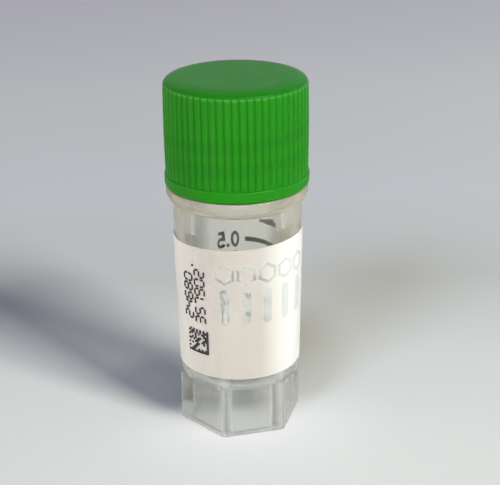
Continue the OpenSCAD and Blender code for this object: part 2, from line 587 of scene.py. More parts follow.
class Value:
    """A shader number that Python expressions combine."""

    def __init__(self, recipe: Recipe, socket: Socket) -> None:
        """Wraps a number socket of this recipe."""
        self.recipe = recipe
        self.socket = socket

    def maths(self, operation: str, *others: Number, swap: bool = False, clamp: bool = False) -> "Value":
        """The result of a Math node.

        Args:
            operation: The node's operation.
            others: The other operands.
            swap: Whether this value comes last.
            clamp: Whether the result is kept between 0 and 1.

        Returns:
            The new value.
        """
        terms = (*others, self) if swap else (self, *others)
        made = self.recipe.node("Math", dict(enumerate(terms)), operation=operation, use_clamp=clamp)
        return Value(self.recipe, made[0])

    def __add__(self, other: Number) -> "Value":
        """Sum."""
        return self.maths("ADD", other)

    def __sub__(self, other: Number) -> "Value":
        """Difference."""
        return self.maths("SUBTRACT", other)

    def __rsub__(self, other: Number) -> "Value":
        """Difference with this value taken away."""
        return self.maths("SUBTRACT", other, swap=True)

    def __mul__(self, other: Number) -> "Value":
        """Product."""
        return self.maths("MULTIPLY", other)

    def __truediv__(self, other: Number) -> "Value":
        """Quotient."""
        return self.maths("DIVIDE", other)

    def __abs__(self) -> "Value":
        """Size without its sign."""
        return self.maths("ABSOLUTE")

    __radd__ = __add__
    __rmul__ = __mul__

    def least(self, other: Number) -> "Value":
        """The smaller of two."""
        return self.maths("MINIMUM", other)

    def most(self, other: Number) -> "Value":
        """The larger of two."""
        return self.maths("MAXIMUM", other)

    def repeat(self, length: float) -> "Value":
        """The value wrapped into this length with 0 in its middle, for a pattern that repeats."""
        return self.maths("WRAP", length / 2, -length / 2)

    def hypot(self, other: "Value") -> "Value":
        """Length of the vector with these two parts."""
        return (self * self + other * other).maths("SQRT")

    def ramp(self, start: float, end: float) -> "Value":
        """0 at the start and 1 at the end, clamped beyond, with straight sides."""
        return (self - start).maths("DIVIDE", end - start, clamp=True)

    def zone(self, low: float, high: float, soft: float) -> "Value":
        """1 between two values and 0 outside, with soft ends."""
        return self.ramp(low - soft, low) * self.ramp(high + soft, high)


# Finishes


@dataclass(frozen=True)
class ClearPlastic:
    """Clear moulded polypropylene with a slight warm haze."""

    tint: Colour = (0.995, 0.99, 0.955)
    cloud: Colour = (0.975, 0.97, 0.925)
    foot_tint: Colour = (0.915, 0.925, 0.93)
    roughness: float = 0.02
    mist_blur: float = 0.05
    collar_blur: float = 0.07
    foot_blur: float = 0.13
    mist: Noise = (0.35, 3, (1, 1, 0.4))
    waves: Noise = (0.9, 1, (1, 1, 0.15))
    wave_depth: float = 0.02
    shade: Colour = (0.86, 0.86, 0.85)
    body_colour: Colour = (0.82, 0.81, 0.68)
    body_density: float = 100.0
    warm_milk: Colour = (0.52, 0.49, 0.40)
    cool_milk: Colour = (0.66, 0.68, 0.70)
    edge_facing: Span = (0.27, 0.5)
    edge_haze: float = 0.3
    collar: Span = (21.9, 23.5)
    collar_haze: float = 0.26
    foot_top: float = 6.2
    foot_haze: float = 0.12
    ledge: Span = (5.4, 6.4)
    ledge_haze: float = 0.2
    corner_angle: float = math.radians(13.4)
    corner_half: float = math.radians(8)
    corner_haze: float = 0.25
    soft: float = 0.3

    def material(self) -> bpy.types.Material:
        """Glass-like plastic that is a little milky, most of all at the collar and the foot.

        Rays that light what is behind it, from the lamps or from dull surfaces, pass straight
        through, a little dimmed.

        Returns:
            The new material.
        """
        recipe = Recipe.named("clear polypropylene")
        x, y, z = recipe.place()
        corner = abs((y.maths("ARCTAN2", x) - self.corner_angle).repeat(SIXTH))
        mist = recipe.noise(*self.mist)
        collar = z.zone(*self.collar, self.soft)
        foot = z.ramp(self.foot_top + self.soft, self.foot_top)
        normal = recipe.bump(recipe.noise(*self.waves), self.wave_depth)
        blur = collar * self.collar_blur + foot * self.foot_blur
        facing = Value(recipe, recipe.node("LayerWeight", {"Blend": 0.5})["Facing"])
        clear = recipe.node("BsdfPrincipled", {
            "Base Color": recipe.blend(foot, recipe.blend(mist, self.tint, self.cloud), self.foot_tint),
            "Roughness": mist * self.mist_blur + self.roughness + blur,
            "IOR": REFRACTION,
            "Transmission Weight": 1.0,
            "Normal": normal,
        })[0]
        warm, cool = (
            recipe.node("BsdfDiffuse", {"Color": milk, "Normal": normal})[0]
            for milk in (self.warm_milk, self.cool_milk)
        )
        open_air = recipe.node("BsdfTransparent", {"Color": self.shade})[0]
        grazing = facing.ramp(*self.edge_facing) * (1 - foot)
        shader = recipe.layers(
            clear,
            (grazing * self.edge_haze + collar * self.collar_haze, warm),
            (foot * (corner.ramp(self.corner_half, 0.0) * self.corner_haze + self.foot_haze), cool),
            (z.zone(*self.ledge, self.soft) * self.ledge_haze, cool),
            *((ray, open_air) for ray in recipe.rays("Diffuse", "Shadow")),
        )
        inside = {"Color": self.body_colour, "Density": self.body_density}
        return recipe.finish(shader, recipe.node("VolumeAbsorption", inside)[0])


@dataclass(frozen=True)
class GreenPlastic:
    """Green moulded polypropylene. Painted shade lies in faint dark bands along the thread inside, in the
    rib valleys and on the rolled top edge, and a painted highlight on the ribs' upper ends.
    """

    ribs: int
    rib_turn: float
    valley_r: float
    low: float
    shoulder: float
    base: Colour = (0.0115, 0.230, 0.002)
    # Deeper green, for the random cloudiness and as painted shade in bands along the thread inside.
    deep: Colour = (0.009, 0.180, 0.004)
    # Painted shade in the rib valleys and on the rolled top edge.
    crease: Colour = (0.006, 0.158, 0.002)
    # Painted highlight on the ribs' upper ends.
    tip: Colour = (0.045, 0.290, 0.025)
    roughness: Span = (0.34, 0.46)
    gloss: float = 0.15
    body_share: float = 0.4
    body_reach: Colour = (0.25, 1.0, 0.15)
    body_depth: float = 0.4
    cloud_scale: float = 0.28
    cloud_share: float = 0.4
    blur_scale: float = 1.1
    grain_scale: float = 9
    grain_depth: float = 0.006
    thread: Span = (25.3, 29.2)
    thread_lead: float = 2.1
    thread_soft: float = 0.4
    thread_half: Span = (0.34, 0.16)
    thread_share: float = 0.45
    skin: Span = (-0.4, -0.05)
    side_start: Span = (0.0, 0.1)
    side_end: Span = (0.02, -0.1)
    valley_half: Span = (0.32, 0.05)
    valley_share: float = 0.5
    edge_start: Span = (-0.04, 0.02)
    edge_share: float = 0.8
    tip_start: Span = (-0.3, -0.1)
    tip_half: Span = (0.05, 0.25)

    def _creases(self, x: Value, y: Value, z: Value, share: Value) -> tuple[Value, Value]:
        """Where shade and highlights are painted on the ribbed side.

        Args:
            x: Place along X.
            y: Place along Y.
            z: Height.
            share: Share of the turn round the axis.

        Returns:
            A mask for the valleys and the rolled edge, and one for the ribs' upper ends.
        """
        outside = (x.hypot(y) - self.valley_r).ramp(*self.skin)
        near = abs(((share - self.rib_turn) * self.ribs).repeat(1.0))
        over = z - self.shoulder
        side = (z - self.low).ramp(*self.side_start) * over.ramp(*self.side_end)
        # Painted shade darkens the valleys and the rolled edge.
        valley_shade = near.ramp(*self.valley_half) * side * self.valley_share
        edge = over.ramp(*self.edge_start)
        # Painted highlight pales the ribs' upper ends.
        tip = over.ramp(*self.tip_start) * (1 - edge)
        return (valley_shade + edge * self.edge_share) * outside, tip * outside * near.ramp(*self.tip_half)

    def material(self) -> bpy.types.Material:
        """Satin plastic with a fine moulded grain and a soft cloudiness.

        Returns:
            The new material.
        """
        recipe = Recipe.named("green polypropylene")
        x, y, z = recipe.place()
        share = y.maths("ARCTAN2", x) / FULL_TURN
        low, high = self.thread
        # Painted shade: faint dark bands along the helix of the thread inside.
        climb = (z - (low - self.thread_soft)) / self.thread_lead - share
        band = abs(climb.repeat(1.0)).ramp(*self.thread_half) * z.zone(low, high, self.thread_soft)
        cloud = recipe.noise(self.cloud_scale)
        crease, tip = self._creases(x, y, z, share)
        depth = (band * self.thread_share + cloud * self.cloud_share).least(1.0)
        green = recipe.blend(crease, recipe.blend(depth, self.base, self.deep), self.crease)
        smooth, rough = self.roughness
        plastic = recipe.node("BsdfPrincipled", {
            "Base Color": recipe.blend(tip, green, self.tip),
            "Roughness": recipe.noise(self.blur_scale) * (rough - smooth) + smooth,
            "IOR": REFRACTION,
            "Specular IOR Level": self.gloss,
            "Subsurface Weight": self.body_share,
            "Subsurface Radius": self.body_reach,
            "Subsurface Scale": self.body_depth * MM,
            "Normal": recipe.bump(recipe.noise(self.grain_scale), self.grain_depth),
        })[0]
        return recipe.finish(plastic)


@dataclass(frozen=True)
class WhitePrint:
    """White screen print with a thin see-through pattern: hexagons over upright slots."""

    base: Colour = (0.91, 0.885, 0.85)
    # Painted shade: a darker beige over the middle of the front, fading out towards the sides.
    warm: Colour = (0.555, 0.515, 0.48)
    window: Colour = (1.0, 1.0, 0.97)
    inside: Colour = (1.0, 1.0, 1.0)
    inside_turn: Span = (0.1, -0.1)
    warm_left: Span = (math.radians(-80), math.radians(-20))
    warm_right: Span = (math.radians(51), math.radians(19))
    cloud: Noise = (0.2, 2, (1, 1, 0.5))
    cloud_share: float = 0.5
    fleck: Noise = (7, 3)
    fleck_share: float = 0.2
    roughness: float = 0.42
    fleck_blur: float = 0.12
    body_share: float = 0.5
    body_reach: Colour = (1.0, 0.9, 0.7)
    body_depth: float = 0.3
    thin: Span = (0.3, 0.82)
    window_dip: float = 0.6
    relief: float = 0.006
    pattern_middle: float = FRONT + math.radians(26)
    pattern_r: float = 5.75
    pattern_half: float = 4.875
    pitch: float = 1.95
    hex_z: float = 16.6
    hex_r: float = 0.74
    slot_z: float = 13.4
    slot_half: float = 1.75
    slot_w: float = 0.42
    stroke: float = 0.3
    soft: float = 0.05

    @staticmethod
    def _angle(recipe: Recipe, middle: float) -> Value:
        """Angle round the axis from a direction.

        Args:
            recipe: The print's nodes.
            middle: Direction of angle 0, in radians.

        Returns:
            The angle, in radians.
        """
        x, y, _ = recipe.place()
        turned_x = x * math.cos(middle) + y * math.sin(middle)
        turned_y = y * math.cos(middle) - x * math.sin(middle)
        return turned_y.maths("ARCTAN2", turned_x)

    def _pattern(self, recipe: Recipe) -> Value:
        """The pattern's strokes.

        A hexagon's outline is where the largest of three directions' distances is near its
        radius. A slot is where the distance to an upright line segment is under half its
        width.

        Args:
            recipe: The print's nodes.

        Returns:
            1 inside the strokes and 0 outside.
        """
        _, _, z = recipe.place()
        along = self._angle(recipe, self.pattern_middle) * self.pattern_r
        cell = along.repeat(self.pitch)
        flat = abs(cell)
        slanted = flat * math.cos(SIXTH) + abs((z - self.hex_z) * math.sin(SIXTH))
        outline = abs(flat.most(slanted) - self.hex_r) - self.stroke / 2
        stretch = (abs(z - self.slot_z) - self.slot_half + self.slot_w).most(0.0)
        slot = cell.hypot(stretch) - self.slot_w
        inside = abs(along).ramp(self.pattern_half + self.soft, self.pattern_half - self.soft)
        return outline.least(slot).ramp(self.soft, -self.soft) * inside

    def material(self) -> bpy.types.Material:
        """Matt white ink with a random creamy mottle, painted shade that turns the middle of the front
        darker beige, and thinner ink in the pattern.

        Returns:
            The new material.
        """
        recipe = Recipe.named("white panel print")
        pattern = self._pattern(recipe)
        cloud, fleck = recipe.noise(*self.cloud), recipe.noise(*self.fleck)
        turn = self._angle(recipe, FRONT)
        # Painted shade over the middle of the front, mixed with the random mottle.
        middle = turn.ramp(*self.warm_left) * turn.ramp(*self.warm_right)
        shade_and_mottle = middle + (cloud - 0.5) * self.cloud_share + (fleck - 0.5) * self.fleck_share
        cream = recipe.blend(shade_and_mottle.most(0.0).least(1.0), self.base, self.warm)
        outside = recipe.blend(pattern, cream, self.window)
        thin, thinnest = self.thin
        paint = recipe.node("BsdfPrincipled", {
            "Base Color": recipe.blend(recipe.outward().ramp(*self.inside_turn), outside, self.inside),
            "Roughness": fleck * self.fleck_blur + self.roughness,
            "Subsurface Weight": self.body_share,
            "Subsurface Radius": self.body_reach,
            "Subsurface Scale": self.body_depth * MM,
            "Alpha": 1 - pattern * (middle * (thinnest - thin) + thin),
            "Normal": recipe.bump(fleck - pattern * self.window_dip, self.relief),
        })[0]
        return recipe.finish(paint)


@dataclass(frozen=True)
class Flecked:
    """Dull material with paler, rougher flecks: the seal's bloomed rubber and the worn inks."""

    name: str
    base: Colour
    paler: Colour
    fleck: Noise = (5, 3)
    paler_from: Span = (0.45, 0.75)
    roughness: Span = (0.45, 0.65)
    grain: Noise = (5, 3)
    relief: float = 0.004

    def material(self) -> bpy.types.Material:
        """Colour and roughness follow the flecks, and a low relief follows the grain.

        Returns:
            The new material.
        """
        recipe = Recipe.named(self.name)
        fleck = recipe.noise(*self.fleck)
        smooth, rough = self.roughness
        return recipe.finish(recipe.node("BsdfPrincipled", {
            "Base Color": recipe.blend(fleck.ramp(*self.paler_from), self.base, self.paler),
            "Roughness": fleck * (rough - smooth) + smooth,
            "Normal": recipe.bump(recipe.noise(*self.grain), self.relief),
        })[0])


@dataclass(frozen=True)
class PaleFloor:
    """Plain pale floor: matt tones with painted light along +Y, painted soft shades and a painted gleam by
    the foot, a backdrop far away.
    """

    backdrop: Colour
    fade: Span = (240, 420)
    # A painted cool glow on the floor far behind.
    far_cast: Colour = (0.54, 0.51, 0.81)
    far_share: float = 0.2
    far_reach: Span = (45, 195)
    # Colour of the painted gleam and of the painted light seen through the clear wall.
    white: Colour = (1.0, 1.0, 1.0)
    gleam: float = 0.55
    gleam_through: float = 0.3
    gleam_reach: Span = (16, 5.5)
    gleam_side: Span = (2, -4)
    gleam_slant: float = -0.25
    # Painted light that brightens the floor as the clear wall shows it.
    lift: float = 0.15
    lift_depth: Span = (25, 45)
    lift_side: Span = (20, 8)
    # Painted light along +Y: darker round 32 mm behind, lighter far off to make up for the lamps' falloff.
    tones: tuple[tuple[float, Colour], ...] = (
        (-8, (0.95, 0.965, 1.0)),
        (10, (0.94, 0.95, 1.0)),
        (32, (0.78, 0.79, 0.84)),
        (60, (0.865, 0.885, 0.975)),
        (115, (0.94, 0.96, 1.0)),
        (200, (0.965, 0.965, 1.0)),
    )
    shades: tuple[tuple[float, float, float, float, Colour], ...] = (
        (5.0, 15.5, 0.58, 8.5, (0.69, 0.68, 0.655)),
        (0.3, 2.0, 1.0, 3.4, (0.36, 0.37, 0.40)),
    )

    def _colour(self, recipe: Recipe, x: Value, y: Value) -> Socket:
        """The floor's colour: tone after tone along +Y with painted light, and a painted soft round shade
        in places.

        A shade has its middle's x and y, its squeeze along Y, its radius and its colour.

        Args:
            recipe: The floor's nodes.
            x: Place along X.
            y: Place along Y.

        Returns:
            The colour.
        """
        low, high = self.tones[0][0], self.tones[-1][0]
        stops = [((place - low) / (high - low), colour) for place, colour in self.tones]
        colour = recipe.node("ValToRGB", {0: y.ramp(low, high)}, stops=stops)[0]
        for spot_x, spot_y, squeeze, radius, shade in self.shades:
            near = (x - spot_x).hypot((y - spot_y) * squeeze).ramp(radius, 0.0)
            colour = recipe.blend(near * near * (3 - near * 2), colour, shade)
        return colour

    def material(self) -> bpy.types.Material:
        """Matt floor that also shows some colours whatever the light, but lights nothing.

        These are a painted gleam of light in front of the foot, painted light that brightens what the clear
        wall shows, a painted cool glow far behind, and the backdrop all round from afar.

        Returns:
            The new material.
        """
        recipe = Recipe.named("pale floor")
        x, y, _ = recipe.place()
        matt = recipe.node("BsdfPrincipled", {
            "Base Color": self._colour(recipe, x, y), "Roughness": 1.0, "Specular IOR Level": 0.0,
        })[0]
        straight, through, mirrored = recipe.rays("Camera", "Transmission", "Glossy")
        seen = straight.most(through).most(mirrored)
        away = x.hypot(y)
        gleam = away.ramp(*self.gleam_reach)
        gleam = gleam * gleam * (y + x * self.gleam_slant).ramp(*self.gleam_side) * self.gleam
        # Painted light, seen only through the clear wall.
        lift = y.ramp(*self.lift_depth) * abs(x).ramp(*self.lift_side) * self.lift
        white = recipe.glow(self.white)
        return recipe.finish(recipe.layers(
            matt,
            (gleam * straight.most(through * self.gleam_through), white),
            (lift * through, white),
            (y.ramp(*self.far_reach) * self.far_share * seen, recipe.glow(self.far_cast)),
            (away.ramp(*self.fade) * seen, recipe.glow(self.backdrop)),
        ))


# The vial and what belongs to it


def install(surface: Surface, name: str, body: Body, slot: Slot, finish: Any, *replaced: str) -> None:
    """Makes a surface a piece, dresses it, puts it on its body and hides the nodes that it replaces.

    Args:
        surface: The piece's surface.
        name: The piece's name.
        body: The body that it rides on.
        slot: The record's slot for its finish; not used.
        finish: The finish, whose material it gets.
        replaced: Names of the nodes that it replaces.
    """
    piece = surface.make_object(name)
    piece.data.materials.append(finish.material())
    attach(piece, body.value)
    if replaced:
        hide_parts(*replaced)
    LOG.info("%s: %d faces on %s", name, len(piece.data.polygons), body.value)


@dataclass
class Vial:
    """The clear moulding: hexagonal skirted foot, drafted wall, collar, neck and bore."""

    box: NodeBox
    foot_h: float = 5.0
    flats: float = 10.16
    corner_round: float = 0.5
    foot_turn: float = 13.4
    corner_reach: float = 3
    corner_columns: int = 12
    flat_columns: int = 24
    edge_round: float = 0.08
    skirt_t: float = 1.6
    skirt_round: float = 0.4
    wall_low_r: float = 5.52
    wall_top_r: float = 5.87
    ledge_h: float = 0.35
    ledge_soft: Span = (0.03, 0.02)
    collar_low: float = 21.9
    collar_top: float = 23.45
    collar_lip: float = 0.5
    collar_r: float = 6.45
    collar_round: float = 1.25
    lip_round: float = 0.12
    neck_r: float = 5.05
    neck_start: float = 0.05
    rim_round: float = 0.3
    bore_r: float = 4.0
    floor_z: float = 4.8
    bottom_t: float = 1.4
    thread: Thread = Thread(height=0.33, crest=0.5, low=24.35, turns=2.6)

    def wall(self) -> Wall:
        """The drafted outer wall between the foot and the collar."""
        return Wall(self.foot_h, self.wall_low_r, self.collar_low, self.wall_top_r)

    def _angles(self) -> np.ndarray:
        """Column angles, closer together at the hexagon's corners.

        Each sixth of a turn has even columns within some degrees of its corner, and the
        rest spread evenly over the flat.

        Returns:
            The angles, in radians.
        """
        reach = self.corner_reach
        near = np.linspace(-reach, reach, self.corner_columns, endpoint=False)
        far = np.linspace(reach, 60 - reach, self.flat_columns, endpoint=False)
        sector = np.concatenate([near, far])
        turns = (sector[None, :] + 60 * np.arange(6)[:, None]).ravel() + self.foot_turn
        return np.radians(turns)

    def _hexagon(self, angles: np.ndarray, flats: float, corner_round: float) -> np.ndarray:
        """Radius of a rounded hexagon at each angle.

        On a flat it is half the width over the cosine from the flat's middle. At a corner
        it is where the ray meets the corner's circle: the centre's part along the ray plus
        the root of the circle's radius squared less the centre's part across it squared.

        Args:
            angles: Column angles in radians.
            flats: Width across the flats.
            corner_round: Radius of the corners.

        Returns:
            One radius a column.
        """
        side = SIXTH / 2
        off = (np.degrees(angles) - self.foot_turn + 30) % 60 - 30
        flat = flats / 2 / np.cos(np.radians(30 - np.abs(off)))
        centre = (flats / 2 - corner_round) / math.cos(side)
        along, across = centre * np.cos(np.radians(off)), centre * np.sin(np.radians(off))
        corner = along + np.sqrt(np.maximum(corner_round**2 - across**2, 0))
        touch = math.atan2(corner_round * math.sin(side), centre + corner_round * math.cos(side))
        return np.where(np.abs(off) < math.degrees(touch), corner, flat)

    def surface(self) -> Surface:
        """The whole moulding as one closed surface, from the dome under the foot to the bore.

        Under the dome, whose section is a circle, the hollow's sides follow a smaller hexagon.

        Returns:
            The closed surface.
        """
        section = Section(self._angles())
        hexagon = self._hexagon(section.angles, self.flats, self.corner_round)
        skirt = self._hexagon(section.angles, self.flats - 2 * self.skirt_t, self.skirt_round)
        middle_z = self.floor_z + self.bore_r
        edge = self.edge_round

        reach = skirt * np.linspace(0.01, 1, 28)[:, None]
        dome = middle_z - np.sqrt((self.bore_r + self.bottom_t)**2 - reach**2)
        section.add(reach, dome)
        section.add(skirt[None], dome[-1] + (edge - dome[-1]) * np.linspace(0, 1, 12)[1:, None])
        section.add(skirt[None] + edge, 0.0)
        quarter = np.radians(np.linspace(-90, 0, 4))[:, None]
        section.add(hexagon - edge + edge * np.cos(quarter), edge + edge * np.sin(quarter))
        self._add_ledge(section, hexagon)
        self._add_collar(section)
        self._add_neck(section)
        section.add(self.bore_r, np.linspace(self.box.high - self.rim_round, middle_z, 40)[1:-1])
        section.arc((0, middle_z), self.bore_r, 0, -89, 28)
        return section.surface(Ends.POLES)

    def _add_ledge(self, section: Section, hexagon: np.ndarray) -> None:
        """Adds the foot's sides and the step to the round wall.

        A cone runs from inside the flats up to the wall. Each flat stops where it meets the
        cone, and each corner stops at the foot's top.

        Args:
            section: The section that takes the rows.
            hexagon: Radius of the foot's sides at each column.
        """
        inner = self.flats / 2 - self.ledge_h
        rise = self.ledge_h / (self.wall_low_r - inner)
        top = np.minimum(self.foot_h - self.ledge_h + (hexagon - inner) * rise, self.foot_h)
        low, (soft_in, soft_down) = self.edge_round, self.ledge_soft
        share = np.linspace(0, 1, 8)[1:, None]
        section.add(np.broadcast_to(hexagon, (7, len(hexagon))), low + (top - 2 * low) * share)
        section.add((hexagon - soft_in)[None], (top - soft_down)[None])
        section.add(((hexagon + self.wall_low_r) / 2)[None], ((top + self.foot_h) / 2)[None])

    def _add_collar(self, section: Section) -> None:
        """Adds the drafted wall, the collar's round underside, its lip and its top face.

        Args:
            section: The section that takes the rows.
        """
        heights = np.linspace(self.foot_h, self.collar_low, 30)
        section.add(self.wall().radius(heights), heights)
        lip_z = self.collar_top - self.collar_lip
        start = -math.degrees(math.asin((lip_z - self.collar_low) / self.collar_round))
        section.arc((self.collar_r - self.collar_round, lip_z), self.collar_round, start + 1, 0, 14)
        corner = (self.collar_r - self.lip_round, self.collar_top - self.lip_round)
        section.arc(corner, self.lip_round, 0, 90, 6)
        section.add(np.linspace(corner[0], self.neck_r, 5)[1:], self.collar_top)

    def _add_neck(self, section: Section) -> None:
        """Adds the threaded neck and its rounded rim.

        Args:
            section: The section that takes the rows.
        """
        rim_z, outer, inner = self.box.high, self.rim_round, self.rim_round / 2
        heights = np.linspace(self.collar_top + self.neck_start, rim_z - outer, 104)
        section.add(self.neck_r + self.thread.ridge(section.angles, heights), heights[:, None])
        section.arc((self.neck_r - outer, rim_z - outer), outer, 15, 90, 6)
        section.arc((self.bore_r + inner, rim_z - inner), inner, 90, 180, 5)

    def build(self) -> None:
        """Makes the clear moulding."""
        install(self.surface(), "clear_moulding", Body.VIAL, Slot.CLEAR, ClearPlastic(), "vial")


@dataclass
class Cap:
    """The ribbed cap, with a plain band round its mouth and a thread inside."""

    box: NodeBox
    ribs: int = 60
    rib_turn: float = 2
    rib_columns: int = 8
    rib_h: float = 0.16
    rib_start: float = 0.02
    barrel: float = 0.05
    valley_r: float = 6.32
    edge_w: float = 1.6
    edge_h: float = 0.5
    tip_h: float = 0.25
    top_t: float = 1.2
    roof_round: float = 0.2
    band_h: float = 1.0
    band_round: float = 0.2
    band_step: float = 0.06
    mouth_round: float = 0.08
    mouth_in: float = 0.03
    bore_r: float = 5.5
    bore_top: float = 0.3
    lead_in: float = 0.35
    pole_r: float = 0.05
    thread: Thread = Thread(height=0.30, crest=0.45, low=25.2, turns=2.3)

    def _rib(self, angles: np.ndarray) -> np.ndarray:
        """Share of a rib's height at each angle: one less the square of twice the offset."""
        off = ((angles - math.radians(self.rib_turn)) * self.ribs / FULL_TURN) % 1 - 0.5
        return 1 - (2 * off) ** 2

    def surface(self) -> Surface:
        """The cap as one closed surface, from the roof's underside round to the top.

        Returns:
            The closed surface.
        """
        angles = even_angles(self.ribs * self.rib_columns)
        section = Section(angles)
        low, top = self.box.low, self.box.high
        roof, corner = top - self.top_t, self.roof_round
        band_r = self.valley_r + self.rib_h + self.band_step
        band_top = low + self.band_h

        section.add(np.linspace(self.pole_r, self.bore_r - corner, 4), roof)
        section.arc((self.bore_r - corner, roof - corner), corner, 70, 0, 4)
        heights = np.linspace(roof - self.bore_top, low + self.lead_in, 80)
        section.add(self.bore_r - self.thread.ridge(angles, heights), heights[:, None])
        section.add(self.bore_r + self.lead_in, low + self.mouth_in)
        section.arc((band_r - self.mouth_round, low + self.mouth_round), self.mouth_round, -90, 0, 4)
        shoulder = band_top - self.band_round
        section.add(band_r, np.linspace(low + self.band_round, shoulder, 4)[:-1])
        section.arc((band_r - self.band_round, shoulder), self.band_round, 0, 70, 6)
        self._add_ribs(section, band_top, top)
        section.add(np.linspace(self.valley_r - self.edge_w, self.pole_r, 8)[1:], top)
        return section.surface(Ends.POLES)

    def _add_ribs(self, section: Section, band_top: float, top: float) -> None:
        """Adds the ribbed side, the ribs' round upper ends and the rolled top edge.

        The crests follow a slight barrel, and each rib ends in a quarter of an ellipse. Above
        them the top is smooth: a quarter of a wide, flat ellipse from the valleys' radius.

        Args:
            section: The section that takes the rows.
            band_top: Height of the plain band's top.
            top: Height of the cap's top.
        """
        end_r = self.valley_r + self.rib_h - self.barrel
        shoulder = top - self.edge_h
        rib = self.valley_r + self.rib_h * self._rib(section.angles)
        heights = np.linspace(band_top + self.rib_start, shoulder - self.tip_h, 17)
        half = (heights[-1] - band_top) / 2
        bulge = self.barrel * (1 - ((heights - band_top) / half - 1) ** 2)
        section.add(np.minimum((end_r + bulge)[:, None], rib), heights[:, None])

        turn = np.radians(np.linspace(0, 90, 10))[1:, None]
        height = np.minimum(end_r, rib) - self.valley_r
        section.add(self.valley_r + height * np.cos(turn), heights[-1] + self.tip_h * np.sin(turn))
        turn = np.radians(np.linspace(0, 90, 16))[1:]
        section.add(self.valley_r - self.edge_w * (1 - np.cos(turn)), shoulder + self.edge_h * np.sin(turn))

    def build(self) -> None:
        """Makes the cap."""
        low, shoulder = self.box.low + self.band_h, self.box.high - self.edge_h
        finish = GreenPlastic(self.ribs, self.rib_turn / 360, self.valley_r, low, shoulder)
        install(self.surface(), "ribbed_cap", Body.CAP, Slot.GREEN, finish, "cap")


@dataclass
class Seal:
    """The soft ring in the cap's roof."""

    box: NodeBox
    hole_r: float = 3.5
    edge: float = 0.15
    columns: int = 160
    finish: Flecked = Flecked(
        "silicone seal", (0.80, 0.80, 0.75), (0.88, 0.88, 0.84), (4, 3), (0, 1), (0.5, 0.7), (12, 2)
    )

    def build(self) -> None:
        """Makes the ring, with rounded edges."""
        section = Section(even_angles(self.columns))
        inner, outer = self.hole_r + self.edge, self.box.reach - self.edge
        low, high = self.box.low + self.edge, self.box.high - self.edge
        corners = (inner, low, 180), (outer, low, 270), (outer, high, 0), (inner, high, 90)
        for radius, height, start in corners:
            section.arc((radius, height), self.edge, start, start + 90, 5)
        ring = section.surface(Ends.RING)
        install(ring, "seal_ring", Body.SEAL, Slot.SILICONE, self.finish, "sealing_washer")


@dataclass
class WritingPanel:
    """The white printed panel, whose upper edge slants up towards +X."""

    box: NodeBox
    wall: Wall
    gap: float = 0.03
    thickness: float = 0.1
    wrap: float = 186
    front_top: float = 19.0
    slant: float = 0.045

    def build(self) -> None:
        """Makes the panel as a thin closed sheet round the wall.

        Its upper edge climbs with the distance along the wall from the middle of the front.
        """
        angle = FRONT + np.radians(np.linspace(-self.wrap / 2, self.wrap / 2, 140))
        rise = np.sin(angle - FRONT) * self.wall.high_r * self.slant
        share = np.linspace(0, 1, 12)[:, None]
        heights = self.box.low + (self.front_top + rise - self.box.low) * share
        outer = self.wall.place(angle, heights[::-1], self.gap + self.thickness)
        inner = self.wall.place(angle, heights, self.gap)
        sheet = Surface()
        sheet.add_grid(np.concatenate([inner, outer]).transpose(1, 0, 2), Ends.FACES)
        install(sheet, "panel_print", Body.VIAL, Slot.WHITE, WhitePrint(), "writing_panel")


